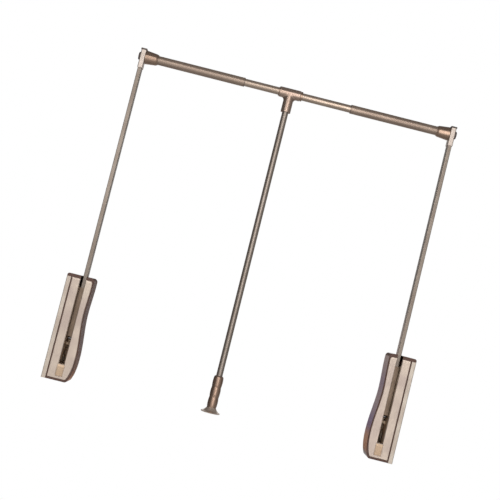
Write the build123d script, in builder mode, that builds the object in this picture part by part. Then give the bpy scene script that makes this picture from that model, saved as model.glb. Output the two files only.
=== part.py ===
from build123d import *
import os
from math import cos, radians, sin

os.makedirs("parts", exist_ok=True)

# Pull-down closet rod, in millimetres. X runs along the rod, the front faces -Y and Z is up.
# The two housings screw to the side walls of a wardrobe. Their feet stand at Z = 0.

# ---- Whole lift ----
overall_width = 882.0        # wall face to wall face, as the telescopic rod is set
rod_height = 831.0           # axis of the hanging rod
swing_limit = 105.0          # degrees that the arms swing down to the front
running_gap = 0.05           # radial clearance of a shaft in its bush
seat_gap = 0.05              # radial clearance of a tube or pin seated in a socket
free_gap = 0.3               # clearance between pieces that pass each other

# ---- Arm tube ----
arm_width = 10.0
arm_depth = 25.0
arm_wall = 1.2
arm_corner = 1.5
arm_rise = 20.0              # pivot to the tube's lower end
rivet_radius = 2.5
rivet_rises = (36.0, 88.0)   # above the pivot

# ---- Swing pivot ----
pivot_height = 118.0
pin_radius = 4.0
pin_head_radius, pin_head_thickness = 6.5, 2.2
pin_tail_radius, pin_tail_thickness = 5.5, 1.4
bush_wall = 1.5
bush_flange_radius = 8.0
bush_flange_thickness = 1.25
bush_side_gap = 0.15

# ---- Swing bracket and crank ----
bracket_sheet = 1.5
bracket_slack = 0.1          # either side of the arm tube
bracket_rise = 115.0         # pivot to the bracket's top
bracket_drop = 8.0           # pivot to the lower edge of its front
bracket_hub_radius = 11.0
crank_radius = 16.0
crank_eye_radius = 6.2
crank_pin_radius = 3.5
crank_end_radius = 2.4

# ---- Housing ----
housing_height = 262.0
housing_depth = 70.0
arm_from_wall = 41.0         # wall face to the middle of the arm and of its slot
shell_wall = 2.2
shoulder_reach = 67.5        # wall face to the curved side, at the top
waist_reach, waist_height = 65.5, 165.0
belly_reach, belly_height = 73.0, 66.0
foot_reach = 62.0            # the same, at the foot
shoulder_lean = 3.0          # degrees off upright of the curved side, at the top
foot_lean = 29.0             # the same, at the foot
shoulder_radius = 9.0        # top corner of the curved side
sole_radius = 8.0            # bottom corner of the curved side
heel_radius = 5.0            # top corner beside the wall
edge_radius = 2.4            # rounding of the front and back edges
top_rim = 8.0                # dark rim left round the front plate
bottom_rim = 5.0
side_rim = 2.5
slot_side_gap = 0.4          # air beside the swing bracket
slot_bottom = 42.0
slot_back_gap = 3.0          # air behind the arm in the top slot

# ---- Wall bracket ----
plate_thickness = 2.0
flange_width = 10.5
flange_thickness = 2.0
bend_radius = 2.0            # outside of the two folds
groove_width = 3.0           # dark groove between the flange and the front plate
cover_gap = 0.2              # between the bracket and the shell that fits in it
wall_hole_radius = 2.5
wall_hole_spacing = 44.0     # front to back
wall_hole_rise = 16.0        # above the bracket's foot
wall_hole_drop = 14.0        # below the bracket's top

# ---- Front plate and its slot cap ----
fascia_thickness = 3.0
fascia_gap = 0.1
fascia_edge = 1.2            # bevel of its front edges
fascia_slope = 4.0           # height of the sloped band along its top
cap_width = 19.0
cap_height = 30.0
cap_drop = 0.8               # slot bottom to the cap's top edge
cap_thickness = 1.8          # it lies flush in the front plate
cap_corner = 1.0
cap_gap = 0.9                # groove round the cap
cap_bevel = 0.4
cap_sill, cap_sill_depth = 5.0, 1.3    # sloped sill along the cap's top
cap_frame = 2.2              # border round the cap's field
cap_field_depth = 0.5

# ---- Cover screws ----
cover_screw_radius = 1.5
cover_screw_head = 2.9
cover_screw_sink = 1.4
cover_screw_length = 9.0
cover_screw_rise = 62.0      # lower one, above the housing's foot
cover_screw_drop = 66.0      # upper one, below the housing's top
boss_radius = 3.4
boss_length = 6.0

# ---- Steel frame of the lift mechanism ----
frame_thickness = 2.0
frame_front = 22.0           # how far the cheeks reach in front of the arm's middle
frame_clear = 1.0            # frame to the back wall of the shell
frame_below = 14.0           # the crosshead at its lowest to the frame's lower edge
frame_drop = 26.0            # housing's top to the frame's upper edge
frame_corner = 8.0
spacer_radius = 4.0
spacer_front_inset, spacer_back_inset = 8.0, 10.0
spacer_rise, spacer_drop = 8.0, 14.0    # from the frame's lower and upper edges

# ---- Lift spring, plunger and damper ----
rod_back = 16.5              # plunger rod behind the pivot
rod_radius = 3.5
yoke_side_gap = 1.6          # yoke to the bracket's cheeks
yoke_jaw = 3.0               # thickness of the yoke above and below its slot
yoke_web = 3.5
yoke_slot_slack = 1.0        # above and below the crank pin
anchor_thickness = 6.0
anchor_gap = 3.8             # yoke to the anchor, as the arm stands up
anchor_margin = 0.5          # front of the anchor in front of the spring
spring_length = 48.0
spring_side_gap = 0.5        # spring to the frame's cheeks
wire_radius = 1.1
spring_turns = 8.0
spring_seat_gap = 0.1
crosshead_thickness = 6.0
nut_radius, nut_height = 6.0, 5.0
window_margin = 1.5          # round the crosshead where it passes the frame
damper_side_gap = 4.5        # damper cylinder to the frame's cheek
damper_gap = 14.6            # crosshead at its highest to the cylinder
damper_radius = 6.5
damper_wall = 1.2
damper_floor = 4.0
damper_length = 66.0
damper_rod_radius = 2.5
damper_reach = 16.0          # rod inside the cylinder at rest, above its floor
piston_thickness = 4.0
lug_height = 7.0
lug_width = 8.0

# ---- Bump stop behind the arm ----
bump_width = 12.0
bump_height = 15.0
bump_drop = 22.0             # frame's upper edge to the stop's middle
bump_corner = 0.6

# ---- Arm head, cap, bolt and collar ----
head_wall = 1.5              # beside the arm tube
head_lip = 1.5               # in front of and behind the arm tube
head_above, head_below = 15.2, 30.5
head_radius = 2.5
socket_depth = 14.0
head_cap_side, head_cap_front = 1.3, 1.0    # how far the cap reaches over the head, each way
head_cap_height = 3.8
head_cap_radius = 1.2
bolt_radius = 4.0
bolt_cap_radius, bolt_cap_thickness = 10.0, 4.5
bolt_cap_bevel = 1.5
bolt_reach = 11.0            # thread in the collar
collar_wall = 2.9            # round the outer tube, before the taper at its mouth
collar_swell = 2.9           # how much wider the cone is beside the arm head
collar_length = 33.0
collar_taper = 4.5
collar_lip = 0.7             # wall left at the collar's mouth
collar_core = 13.0

# ---- Telescopic rod ----
outer_tube_radius = 11.3
outer_tube_wall = 1.0
outer_tube_end = 262.0       # from the middle of the arm
inner_tube_wall = 1.2
insertion = 115.0            # inner tube inside each outer tube
liner_wall = 0.7
liner_length = 20.0
liner_lip_thickness = 0.8    # its flange on the outer tube's mouth
liner_lip_height = 0.2       # how far the flange stands out round the tube

# ---- T connector and pull handle ----
tee_x = -20.0                # middle of the T along the rod
tee_length = 54.0
tee_wall = 2.65
tee_bush_wall = 0.75
tee_bevel = 1.0
tee_fillet = 7.0             # between sleeve and stem
ring_wall = 2.4
left_ring_width, right_ring_width = 1.6, 4.5
stem_wall = 4.45
stem_shoulder = 0.5          # the sleeve is at least this much wider than the stem
stem_drop = 48.5             # rod axis to the stem's lower end
stem_socket = 20.0
pull_tube_radius = 8.0
pull_tube_wall = 1.0
stem_screw_radius = 2.0
stem_screw_up = 10.0         # above the stem's lower end
grip_top = 104.0
grip_length = 79.5
grip_bulges = 3
grip_wall = 3.55             # round the pull tube, at the grip's necks
grip_swell = 1.1             # how far a bulge stands out from the necks
grip_shoulder = 2.4          # bevel at the top of the grip
grip_socket = 60.0
foot_height = 13.0
foot_radius = 24.5
foot_edge = 1.8
foot_hollow = 3.0
flare_waist_width, flare_waist_height = 5.0, 6.5    # point on the bell's flank, from the grip's neck and foot
foot_spigot_radius, foot_spigot_length = 5.0, 9.0

# ---- Places worked out from the sizes above ----
wall_x = -overall_width / 2
arm_x = wall_x + arm_from_wall
front_y = -housing_depth / 2
back_y = housing_depth / 2
step_x = wall_x + flange_width + groove_width
lip_z = housing_height - top_rim
skirt_y = back_y - flange_thickness - cover_gap
cover_screw_x = wall_x + (plate_thickness + flange_width) / 2
cover_screw_heights = (cover_screw_rise, housing_height - cover_screw_drop)
bracket_inner = arm_width + 2 * bracket_slack
bracket_half = bracket_inner / 2 + bracket_sheet
bracket_top = pivot_height + bracket_rise
slot_half = bracket_half + slot_side_gap
cheek_in = bracket_half + bush_flange_thickness + bush_side_gap
cheek_out = cheek_in + frame_thickness
frame_back = back_y - shell_wall - frame_clear
frame_top = housing_height - frame_drop
bush_radius = pin_radius + running_gap + bush_wall
rivet_heights = [pivot_height + rise for rise in rivet_rises]
half_swing = radians(swing_limit / 2)
crank_y = crank_radius * cos(half_swing)
crank_z = pivot_height - crank_radius * sin(half_swing)
lift_travel = 2 * crank_radius * sin(half_swing)
yoke_slot_half = crank_pin_radius + yoke_slot_slack
yoke_half = yoke_slot_half + yoke_jaw
anchor_top = crank_z - yoke_half - anchor_gap
spring_top = anchor_top - anchor_thickness
spring_radius = cheek_in - spring_side_gap - wire_radius    # to the middle of the wire
spring_reach = spring_radius + wire_radius
crosshead_top = spring_top - spring_length
crosshead_bottom = crosshead_top - crosshead_thickness
frame_bottom = crosshead_bottom - frame_below
damper_x = arm_x - cheek_out - damper_side_gap - damper_radius
damper_bottom = crosshead_top + lift_travel + damper_gap
head_width = arm_width + 2 * head_wall
head_depth = arm_depth + 2 * head_lip
tube_mouth_x = arm_x + outer_tube_end
collar_x = arm_x + head_width / 2
collar_radius = outer_tube_radius + collar_wall
outer_bore = outer_tube_radius - outer_tube_wall
inner_tube_radius = outer_bore - seat_gap - liner_wall - running_gap
ring_bore = inner_tube_radius + seat_gap
tee_bore = inner_tube_radius + running_gap + tee_bush_wall + seat_gap
pull_tube_seat = pull_tube_radius + seat_gap
stem_radius = pull_tube_seat + stem_wall
tee_radius = max(tee_bore + tee_wall, stem_radius + stem_shoulder)
stem_bottom = rod_height - stem_drop
grip_neck_radius = pull_tube_seat + grip_wall
grip_bulge_radius = grip_neck_radius + grip_swell


def block(x, y, z, mode=Mode.ADD):
    """A box given by its low and high limits along X, Y and Z."""
    with Locations((x[0], y[0], z[0])):
        Box(x[1] - x[0], y[1] - y[0], z[1] - z[0], align=(Align.MIN, Align.MIN, Align.MIN), mode=mode)


def turned(start, direction, outline, mode=Mode.ADD):
    """A turned solid: outline holds (distance along, radius) points from start along direction."""
    along = Vector(*direction)
    across = Vector(0, 1, 0) if abs(along.X) > 0.5 else Vector(1, 0, 0)
    with BuildSketch(Plane(origin=start, x_dir=direction, z_dir=across)) as profile:
        with BuildLine():
            Polyline(*outline, close=True)
        make_face()
    revolve(profile.sketch, axis=Axis(start, direction), mode=mode)


def rod_shape(start, direction, length, radius, mode=Mode.ADD):
    """A plain round bar, or a round hole where mode is SUBTRACT."""
    turned(start, direction, ((0, 0), (0, radius), (length, radius), (length, 0)), mode)


def tube_shape(start, direction, length, outer, inner):
    """A plain round tube."""
    turned(start, direction, ((0, inner), (0, outer), (length, outer), (length, inner)))


def side_way(lean):
    """Downward direction, lean degrees off upright and away from the wall."""
    return (sin(radians(lean)), -cos(radians(lean)))


def housing_face(y, inset, inner_x, bottom, top):
    """The housing's outline seen from the front, at depth y, with its curved side moved in by inset."""
    with BuildSketch(Plane.XZ.offset(-y)) as face:
        with BuildLine():
            start = (wall_x + shoulder_reach - inset, top)
            end = (wall_x + foot_reach - inset, bottom)
            Polyline(start, (inner_x, top), (inner_x, bottom), end)
            Spline(
                start,
                (wall_x + waist_reach - inset, waist_height),
                (wall_x + belly_reach - inset, belly_height),
                end,
                tangents=(side_way(shoulder_lean), side_way(-foot_lean)),
            )
        make_face()
        fillet(face.vertices().group_by(Axis.Y)[-1].sort_by(Axis.X)[-1], shoulder_radius - inset)
        fillet(face.vertices().group_by(Axis.Y)[0].sort_by(Axis.X)[-1], sole_radius - inset)
    return face.sketch


def slope(top, height, depth):
    """Cuts a sloped band into a housing's front, from height below its top edge to depth behind it there."""
    with BuildSketch(Plane.YZ.offset(wall_x)) as wedge:
        with BuildLine():
            Polyline((front_y, top - height), (front_y, top), (front_y + depth, top), close=True)
        make_face()
    extrude(wedge.sketch, amount=belly_reach, mode=Mode.SUBTRACT)


def keep(piece, name):
    """Labels a finished piece and writes its file."""
    piece.part.label = name
    export_step(piece.part, f"parts/{name}.step")


def keep_pair(piece, name):
    """Keeps the left-hand piece, and its mirror image for the right-hand side."""
    with BuildPart() as twin:
        mirror(piece.part, about=Plane.YZ)
    keep(piece, "left_" + name)
    keep(twin, "right_" + name)


# ---- Wall bracket: a steel channel, flat on the wall, that holds everything else ----
with BuildPart() as wall_bracket:
    block((wall_x, wall_x + plate_thickness), (front_y, back_y), (0, lip_z))
    block((wall_x, wall_x + flange_width), (front_y, front_y + flange_thickness), (0, lip_z))
    block((wall_x, wall_x + flange_width), (back_y - flange_thickness, back_y), (0, lip_z))
    fillet(wall_bracket.edges().filter_by(Axis.Z).group_by(Axis.X)[0], bend_radius)
    hole_span = lip_z - wall_hole_rise - wall_hole_drop
    hole_middle = (wall_x + plate_thickness, 0, wall_hole_rise + hole_span / 2)
    with Locations(Plane(hole_middle, x_dir=(0, 1, 0), z_dir=(1, 0, 0))):
        with GridLocations(wall_hole_spacing, hole_span, 2, 2):
            Hole(wall_hole_radius, depth=plate_thickness)
    for height in cover_screw_heights:
        screw_place = (cover_screw_x, back_y, height)
        with Locations(Plane(screw_place, x_dir=(1, 0, 0), z_dir=(0, 1, 0))):
            CounterSinkHole(
                cover_screw_radius + running_gap, cover_screw_head + running_gap, depth=flange_thickness
            )
keep_pair(wall_bracket, "wall_bracket")

# ---- Housing shell: dark plastic, open towards the wall, with a rim that tucks into the bracket ----
skirt_x = wall_x + plate_thickness + cover_gap
inner_front = front_y + fascia_thickness + shell_wall
inner_back = back_y - shell_wall
skirt_inner = skirt_y - shell_wall
inner_top = housing_height - shell_wall
with BuildPart() as housing_shell:
    extrude(housing_face(front_y, 0, step_x, 0, housing_height), amount=-housing_depth)
    block((wall_x, step_x), (front_y, back_y), (lip_z + cover_gap, housing_height))
    heel = housing_shell.edges().filter_by(Axis.Y).group_by(Axis.X)[0].sort_by(Axis.Z)[-1]
    fillet(heel, heel_radius)
    for outer_face in (housing_shell.faces().sort_by(Axis.Y)[0], housing_shell.faces().sort_by(Axis.Y)[-1]):
        rounded = [
            edge
            for edge in outer_face.edges()
            if edge.center().X > step_x + edge_radius or edge.center().Z > lip_z + edge_radius
        ]
        fillet(rounded, edge_radius)
    block((skirt_x, step_x + shell_wall), (-skirt_y, skirt_y), (0, lip_z + cover_gap + shell_wall))
    extrude(
        housing_face(inner_front, shell_wall, skirt_x, shell_wall, inner_top),
        amount=-(skirt_inner - inner_front),
        mode=Mode.SUBTRACT,
    )
    extrude(
        housing_face(inner_front, shell_wall, step_x + shell_wall, shell_wall, inner_top),
        amount=-(inner_back - inner_front),
        mode=Mode.SUBTRACT,
    )
    extrude(
        housing_face(front_y, side_rim, step_x, bottom_rim, lip_z),
        amount=-fascia_thickness,
        mode=Mode.SUBTRACT,
    )
    slot_x = (arm_x - slot_half, arm_x + slot_half)
    slot_y = (front_y, arm_depth / 2 + slot_back_gap)
    block(slot_x, slot_y, (slot_bottom, housing_height), Mode.SUBTRACT)
    for height in cover_screw_heights:
        boss_start = (cover_screw_x, skirt_inner, height)
        rod_shape(boss_start, (0, -1, 0), boss_length, boss_radius)
        screw_place = (cover_screw_x, back_y, height)
        screw_hole = cover_screw_radius + seat_gap
        rod_shape(screw_place, (0, -1, 0), cover_screw_length + seat_gap, screw_hole, Mode.SUBTRACT)
keep_pair(housing_shell, "housing_shell")

# ---- Front plate: metallic cover with the open slot that the arm swings out through ----
with BuildPart() as front_fascia:
    extrude(
        housing_face(front_y, side_rim + fascia_gap, step_x, bottom_rim + fascia_gap, lip_z - fascia_gap),
        amount=-fascia_thickness,
    )
    fascia_back = front_y + fascia_thickness
    block(slot_x, (front_y, fascia_back), (slot_bottom, lip_z), Mode.SUBTRACT)
    chamfer(front_fascia.faces().sort_by(Axis.Y)[0].edges(), fascia_edge)
    slope(lip_z - fascia_gap, fascia_slope, fascia_edge)
    cap_top = slot_bottom - cap_drop
    cap_middle = (arm_x, cap_top - cap_height / 2)
    with BuildSketch(Plane.XZ.offset(-front_y)):
        with Locations(cap_middle):
            RectangleRounded(cap_width, cap_height, cap_corner)
    extrude(amount=-cap_thickness, mode=Mode.SUBTRACT)
keep_pair(front_fascia, "front_fascia")

# ---- Slot cap: a small framed square plate that closes the slot's lower end ----
with BuildPart() as slot_cap:
    with BuildSketch(Plane.XZ.offset(-front_y)):
        with Locations(cap_middle):
            RectangleRounded(cap_width - 2 * cap_gap, cap_height - 2 * cap_gap, cap_corner)
    extrude(amount=-cap_thickness)
    chamfer(slot_cap.faces().sort_by(Axis.Y)[0].edges(), cap_bevel)
    slope(cap_top - cap_gap, cap_sill, cap_sill_depth)
    sill_foot = cap_top - cap_gap - cap_sill
    cap_foot = cap_top - cap_height + cap_gap
    with BuildSketch(Plane.XZ.offset(-front_y)):
        with Locations((arm_x, (sill_foot + cap_foot) / 2)):
            Rectangle(cap_width - 2 * cap_gap - 2 * cap_frame, sill_foot - cap_foot - 2 * cap_frame)
    extrude(amount=-cap_field_depth, mode=Mode.SUBTRACT)
keep_pair(slot_cap, "slot_cap")

# ---- Cover screws: two countersunk screws through the bracket's back flange into the shell's bosses ----
with BuildPart() as cover_screws:
    for height in cover_screw_heights:
        turned(
            (cover_screw_x, back_y, height),
            (0, -1, 0),
            (
                (0, 0),
                (0, cover_screw_head),
                (cover_screw_sink, cover_screw_radius),
                (cover_screw_length, cover_screw_radius),
                (cover_screw_length, 0),
            ),
        )
keep_pair(cover_screws, "cover_screws")

# ---- Mechanism frame: a bent steel channel, open to the front, with the pivot between its cheeks ----
window_reach = spring_reach + window_margin
web_front = frame_back - frame_thickness
with BuildPart() as mechanism_frame:
    for cheek in ((arm_x - cheek_out, arm_x - cheek_in), (arm_x + cheek_in, arm_x + cheek_out)):
        block(cheek, (-frame_front, frame_back), (frame_bottom, frame_top))
    fillet(mechanism_frame.edges().filter_by(Axis.X).group_by(Axis.Y)[0], frame_corner)
    block((arm_x - cheek_out, arm_x + cheek_out), (web_front, frame_back), (frame_bottom, frame_top))
    rod_shape(
        (arm_x - cheek_out, 0, pivot_height), (1, 0, 0), 2 * cheek_out, pin_radius + seat_gap, Mode.SUBTRACT
    )
    block(
        (arm_x - cheek_out, arm_x - cheek_in),
        (rod_back - window_reach, rod_back + window_reach),
        (crosshead_bottom - window_margin, crosshead_top + lift_travel + window_margin),
        Mode.SUBTRACT,
    )
keep_pair(mechanism_frame, "mechanism_frame")

# ---- Spacers: four turned posts that hold the frame off the wall bracket ----
with BuildPart() as frame_spacers:
    post_start = wall_x + plate_thickness
    post_length = arm_x - cheek_out - post_start
    for y in (spacer_front_inset - frame_front, frame_back - spacer_back_inset):
        for z in (frame_bottom + spacer_rise, frame_top - spacer_drop):
            rod_shape((post_start, y, z), (1, 0, 0), post_length, spacer_radius)
keep_pair(frame_spacers, "frame_spacers")

# ---- Pivot pin: headed steel pin, peened over outside the far cheek ----
with BuildPart() as pivot_pin:
    shank_end = pin_head_thickness + 2 * cheek_out
    turned(
        (arm_x - cheek_out - pin_head_thickness, 0, pivot_height),
        (1, 0, 0),
        (
            (0, 0),
            (0, pin_head_radius),
            (pin_head_thickness, pin_head_radius),
            (pin_head_thickness, pin_radius),
            (shank_end, pin_radius),
            (shank_end, pin_tail_radius),
            (shank_end + pin_tail_thickness, pin_tail_radius),
            (shank_end + pin_tail_thickness, 0),
        ),
    )
keep_pair(pivot_pin, "pivot_pin")

# ---- Pivot bushes: two flanged nylon bushes that carry the swing bracket on the pin ----
with BuildPart() as pivot_bushes:
    bush_bore = pin_radius + running_gap
    flange_start = bracket_half - free_gap / 2
    flange_end = cheek_in - bush_side_gap - free_gap / 2
    for way in (-1, 1):
        turned(
            (arm_x + way * free_gap / 2, 0, pivot_height),
            (way, 0, 0),
            (
                (0, bush_bore),
                (0, bush_radius),
                (flange_start, bush_radius),
                (flange_start, bush_flange_radius),
                (flange_end, bush_flange_radius),
                (flange_end, bush_bore),
            ),
        )
keep_pair(pivot_bushes, "pivot_bushes")

# ---- Swing bracket: folded steel shoe that holds the arm's foot and carries the crank ----
web_back_y = -arm_depth / 2 - bracket_slack
web_front_y = web_back_y - bracket_sheet
bracket_z = (pivot_height - bracket_drop, bracket_top)
with BuildPart() as swing_bracket:
    for cheek_x in (arm_x - bracket_half, arm_x + bracket_inner / 2):
        with BuildSketch(Plane.YZ.offset(cheek_x)):
            with Locations((0, pivot_height)):
                Circle(bracket_hub_radius)
            with Locations((crank_y, crank_z)):
                Circle(crank_eye_radius)
            make_hull()
        extrude(amount=bracket_sheet)
        block((cheek_x, cheek_x + bracket_sheet), (web_front_y, arm_depth / 2), bracket_z)
    block((arm_x - bracket_half, arm_x + bracket_half), (web_front_y, web_back_y), bracket_z)
    across_start = arm_x - bracket_half
    for y, z, radius in (
        (0, pivot_height, bush_radius),
        (crank_y, crank_z, crank_end_radius),
        (0, rivet_heights[0], rivet_radius),
        (0, rivet_heights[1], rivet_radius),
    ):
        rod_shape((across_start, y, z), (1, 0, 0), 2 * bracket_half, radius + seat_gap, Mode.SUBTRACT)
keep_pair(swing_bracket, "swing_bracket")

# ---- Crank pin: shouldered steel pin between the bracket's cheeks, which works the yoke ----
with BuildPart() as crank_pin:
    shoulder_start = bracket_sheet + seat_gap
    shoulder_end = 2 * bracket_half - shoulder_start
    turned(
        (across_start, crank_y, crank_z),
        (1, 0, 0),
        (
            (0, 0),
            (0, crank_end_radius),
            (shoulder_start, crank_end_radius),
            (shoulder_start, crank_pin_radius),
            (shoulder_end, crank_pin_radius),
            (shoulder_end, crank_end_radius),
            (2 * bracket_half, crank_end_radius),
            (2 * bracket_half, 0),
        ),
    )
keep_pair(crank_pin, "crank_pin")

# ---- Arm tube: flat oval-cornered steel tube from the bracket up to the arm head ----
arm_top = rod_height - head_below + socket_depth
arm_bottom = pivot_height + arm_rise
with BuildPart() as arm_tube:
    with BuildSketch(Plane.XY.offset(arm_bottom)):
        with Locations((arm_x, 0)):
            RectangleRounded(arm_width, arm_depth, arm_corner)
            RectangleRounded(
                arm_width - 2 * arm_wall, arm_depth - 2 * arm_wall, arm_corner - arm_wall, mode=Mode.SUBTRACT
            )
    extrude(amount=arm_top - arm_bottom)
    for height in rivet_heights:
        rivet_hole = rivet_radius + seat_gap
        rod_shape((across_start, 0, height), (1, 0, 0), 2 * bracket_half, rivet_hole, Mode.SUBTRACT)
keep_pair(arm_tube, "arm_tube")

# ---- Arm rivets: two flush rivets through bracket and tube ----
with BuildPart() as arm_rivets:
    for height in rivet_heights:
        rod_shape((across_start, 0, height), (1, 0, 0), 2 * bracket_half, rivet_radius)
keep_pair(arm_rivets, "arm_rivets")

# ---- Plunger: a C-shaped yoke round the crank pin, with the spring rod below it ----
yoke_front = bush_radius + 2 * free_gap
yoke_slot_back = crank_radius + crank_pin_radius + free_gap
yoke_side = bracket_inner / 2 - yoke_side_gap
yoke_x = (arm_x - yoke_side, arm_x + yoke_side)
yoke_slot_z = (crank_z - yoke_slot_half, crank_z + yoke_slot_half)
rod_bottom = crosshead_bottom - nut_height
with BuildPart() as plunger:
    block(yoke_x, (yoke_front, yoke_slot_back + yoke_web), (crank_z - yoke_half, crank_z + yoke_half))
    fillet(plunger.edges().filter_by(Axis.X).group_by(Axis.Y)[-1], yoke_jaw)
    block(yoke_x, (yoke_front, yoke_slot_back), yoke_slot_z, Mode.SUBTRACT)
    rod_shape((arm_x, rod_back, rod_bottom), (0, 0, 1), crank_z - yoke_half - rod_bottom, rod_radius)
keep_pair(plunger, "plunger")

# ---- Spring anchor: steel block between the cheeks that the spring pushes up against ----
with BuildPart() as spring_anchor:
    anchor_front = rod_back - spring_reach - anchor_margin
    block((arm_x - cheek_in, arm_x + cheek_in), (anchor_front, web_front), (spring_top, anchor_top))
    rod_shape(
        (arm_x, rod_back, spring_top), (0, 0, 1), anchor_thickness, rod_radius + free_gap, Mode.SUBTRACT
    )
keep_pair(spring_anchor, "spring_anchor")

# ---- Lift spring: compression spring round the plunger rod, squeezed as the arm comes down ----
coil_height = spring_length - 2 * (wire_radius + spring_seat_gap)
with BuildPart() as lift_spring:
    with BuildLine() as coil_line:
        Helix(
            coil_height / spring_turns,
            coil_height,
            spring_radius,
            center=(arm_x, rod_back, crosshead_top + wire_radius + spring_seat_gap),
        )
    with BuildSketch(Plane(coil_line.line @ 0, z_dir=coil_line.line % 0)):
        Circle(wire_radius)
    sweep(is_frenet=True)
keep_pair(lift_spring, "lift_spring")

# ---- Crosshead: plate and nut at the plunger rod's foot, which also works the damper ----
with BuildPart() as crosshead:
    block(
        (damper_x - spring_reach, arm_x + cheek_in - window_margin),
        (rod_back - spring_reach, rod_back + spring_reach),
        (crosshead_bottom, crosshead_top),
    )
    with BuildSketch(Plane.XY.offset(rod_bottom)):
        with Locations((arm_x, rod_back)):
            RegularPolygon(nut_radius, 6)
    extrude(amount=nut_height)
    rod_seat = rod_radius + seat_gap
    rod_shape((arm_x, rod_back, rod_bottom), (0, 0, 1), crosshead_top - rod_bottom, rod_seat, Mode.SUBTRACT)
keep_pair(crosshead, "crosshead")

# ---- Damper cylinder: slows the arm's return; lugs weld it to the frame's cheek ----
damper_bore = damper_radius - damper_wall
with BuildPart() as damper_cylinder:
    rod_shape((damper_x, rod_back, damper_bottom), (0, 0, 1), damper_length, damper_radius)
    for lug_z in (damper_bottom + damper_floor, damper_bottom + damper_length - damper_floor - lug_height):
        block(
            (damper_x, arm_x - cheek_out),
            (rod_back - lug_width / 2, rod_back + lug_width / 2),
            (lug_z, lug_z + lug_height),
        )
    bore_length = damper_length - 2 * damper_floor
    rod_shape(
        (damper_x, rod_back, damper_bottom + damper_floor), (0, 0, 1), bore_length, damper_bore, Mode.SUBTRACT
    )
    rod_shape(
        (damper_x, rod_back, damper_bottom), (0, 0, 1), damper_floor, damper_rod_radius + running_gap,
        Mode.SUBTRACT,
    )
keep_pair(damper_cylinder, "damper_cylinder")

# ---- Damper rod: polished rod with its piston ----
with BuildPart() as damper_rod:
    rod_top = damper_bottom + damper_floor + damper_reach
    rod_shape((damper_x, rod_back, crosshead_top), (0, 0, 1), rod_top - crosshead_top, damper_rod_radius)
    piston_radius = damper_bore - running_gap
    rod_shape((damper_x, rod_back, rod_top - piston_thickness), (0, 0, 1), piston_thickness, piston_radius)
keep_pair(damper_rod, "damper_rod")

# ---- Bump stop: rubber block that the raised arm rests against ----
bump_middle = frame_top - bump_drop
with BuildPart() as bump_stop:
    block(
        (arm_x - bump_width / 2, arm_x + bump_width / 2),
        (arm_depth / 2 + free_gap, web_front),
        (bump_middle - bump_height / 2, bump_middle + bump_height / 2),
    )
    fillet(bump_stop.edges().filter_by(Axis.X).group_by(Axis.Y)[0], bump_corner)
keep_pair(bump_stop, "bump_stop")

# ---- Arm head: die-cast block, slotted over the arm's top and drilled for the rod bolt ----
head_bottom = rod_height - head_below
with BuildPart() as arm_head:
    with BuildSketch(Plane.XY.offset(head_bottom)):
        with Locations((arm_x, 0)):
            RectangleRounded(head_width, head_depth, head_radius)
    extrude(amount=head_below + head_above)
    with BuildSketch(Plane.XY.offset(head_bottom)):
        with Locations((arm_x, 0)):
            RectangleRounded(arm_width + 2 * seat_gap, arm_depth + 2 * seat_gap, arm_corner)
    extrude(amount=socket_depth, mode=Mode.SUBTRACT)
    rod_shape(
        (arm_x - head_width / 2, 0, rod_height), (1, 0, 0), head_width, bolt_radius + seat_gap, Mode.SUBTRACT
    )
keep_pair(arm_head, "arm_head")

# ---- Head cap: dark plastic lid on top of the arm head ----
with BuildPart() as head_cap:
    with BuildSketch(Plane.XY.offset(rod_height + head_above)):
        with Locations((arm_x, 0)):
            RectangleRounded(head_width + 2 * head_cap_side, head_depth + 2 * head_cap_front, head_radius)
    extrude(amount=head_cap_height)
    fillet(head_cap.faces().sort_by(Axis.Z)[-1].edges(), head_cap_radius)
keep_pair(head_cap, "head_cap")

# ---- Rod bolt: dark capped bolt through the head into the collar ----
with BuildPart() as rod_bolt:
    bolt_end = bolt_cap_thickness + head_width + bolt_reach
    turned(
        (arm_x - head_width / 2 - bolt_cap_thickness, 0, rod_height),
        (1, 0, 0),
        (
            (0, 0),
            (0, bolt_cap_radius - bolt_cap_bevel),
            (bolt_cap_bevel, bolt_cap_radius),
            (bolt_cap_thickness, bolt_cap_radius),
            (bolt_cap_thickness, bolt_radius),
            (bolt_end, bolt_radius),
            (bolt_end, 0),
        ),
    )
keep_pair(rod_bolt, "rod_bolt")

# ---- Collar: turned bronze cone that the rod's outer tube is pressed in ----
with BuildPart() as collar:
    taper_start = collar_length - collar_taper
    neck_length = head_cap_side + free_gap      # clears the head cap's rim
    neck_radius = min(collar_radius, head_above - free_gap)
    turned(
        (collar_x, 0, rod_height),
        (1, 0, 0),
        (
            (0, 0),
            (0, neck_radius),
            (neck_length, neck_radius),
            (neck_length, collar_radius + collar_swell),
            (taper_start, collar_radius),
            (collar_length, outer_tube_radius + collar_lip),
            (collar_length, 0),
        ),
    )
    rod_shape((collar_x, 0, rod_height), (1, 0, 0), collar_core, bolt_radius + seat_gap, Mode.SUBTRACT)
    rod_shape(
        (collar_x + collar_core, 0, rod_height),
        (1, 0, 0),
        collar_length - collar_core,
        outer_tube_radius + seat_gap,
        Mode.SUBTRACT,
    )
keep_pair(collar, "collar")

# ---- Outer tube of the telescopic rod ----
with BuildPart() as outer_tube:
    tube_start = collar_x + collar_core
    tube_shape(
        (tube_start, 0, rod_height), (1, 0, 0), tube_mouth_x - tube_start, outer_tube_radius, outer_bore
    )
keep_pair(outer_tube, "outer_tube")

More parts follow.
